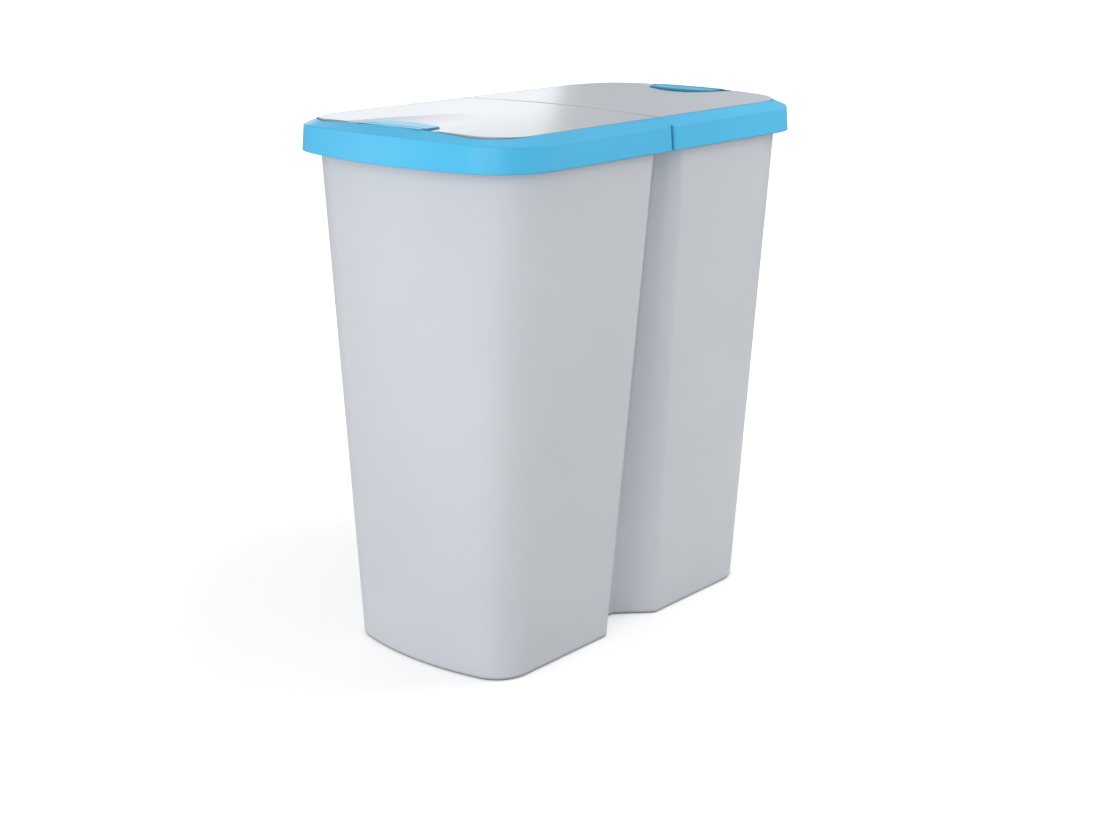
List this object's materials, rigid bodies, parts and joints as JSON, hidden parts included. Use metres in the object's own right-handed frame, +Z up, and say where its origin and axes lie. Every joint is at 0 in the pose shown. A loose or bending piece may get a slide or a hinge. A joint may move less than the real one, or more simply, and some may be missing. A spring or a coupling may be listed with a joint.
{
  "type": "double recycling bin",
  "caption": "Recycling bin with side-by-side compartments: a tapered tub under coloured rim frames that carry crowned hinged lids with finger tabs.",
  "frame": {"origin": "on the floor, at the middle of the footprint", "axes": "+Z up, X along the row of compartments, the grooved sides face -Y and +Y"},
  "size_m": [0.471, 0.282, 0.503],
  "materials": {
    "tub_grey": "satin moulded plastic",
    "rim_blue": "satin moulded plastic",
    "lid_grey": "satin moulded plastic",
    "pin_steel": null
  },
  "bodies": {
    "root": {"double_tub": "tub_grey"},
    "left_frame": {"left_rim_frame": "rim_blue", "left_front_hinge_pin": "pin_steel", "left_rear_hinge_pin": "pin_steel"},
    "left_lid_body": {"left_lid": "lid_grey"},
    "left_tab_body": {"left_finger_tab": "rim_blue"},
    "right_frame": {"right_rim_frame": "rim_blue", "right_front_hinge_pin": "pin_steel", "right_rear_hinge_pin": "pin_steel"},
    "right_lid_body": {"right_lid": "lid_grey"},
    "right_tab_body": {"right_finger_tab": "rim_blue"}
  },
  "joints": [
    {"name": "left_frame_lift", "type": "slide", "parent": "root", "child": "left_frame", "axis": [0, 0, 1], "range_m": [0, 0.08]},
    {"name": "left_lid_hinge", "type": "hinge", "parent": "left_frame", "child": "left_lid_body", "pos_m": [-0.013, 0, 0.497], "axis": [0, 1, 0], "range_deg": [0, 88]},
    {"name": "left_tab_hinge", "type": "hinge", "parent": "left_lid_body", "child": "left_tab_body", "pos_m": [-0.2095, 0, 0.5005], "axis": [0, -1, 0], "range_deg": [0, 25]},
    {"name": "right_frame_lift", "type": "slide", "parent": "root", "child": "right_frame", "axis": [0, 0, 1], "range_m": [0, 0.08]},
    {"name": "right_lid_hinge", "type": "hinge", "parent": "right_frame", "child": "right_lid_body", "pos_m": [0.013, 0, 0.497], "axis": [0, -1, 0], "range_deg": [0, 88]},
    {"name": "right_tab_hinge", "type": "hinge", "parent": "right_lid_body", "child": "right_tab_body", "pos_m": [0.2095, 0, 0.5005], "axis": [0, 1, 0], "range_deg": [0, 25]}
  ]
}
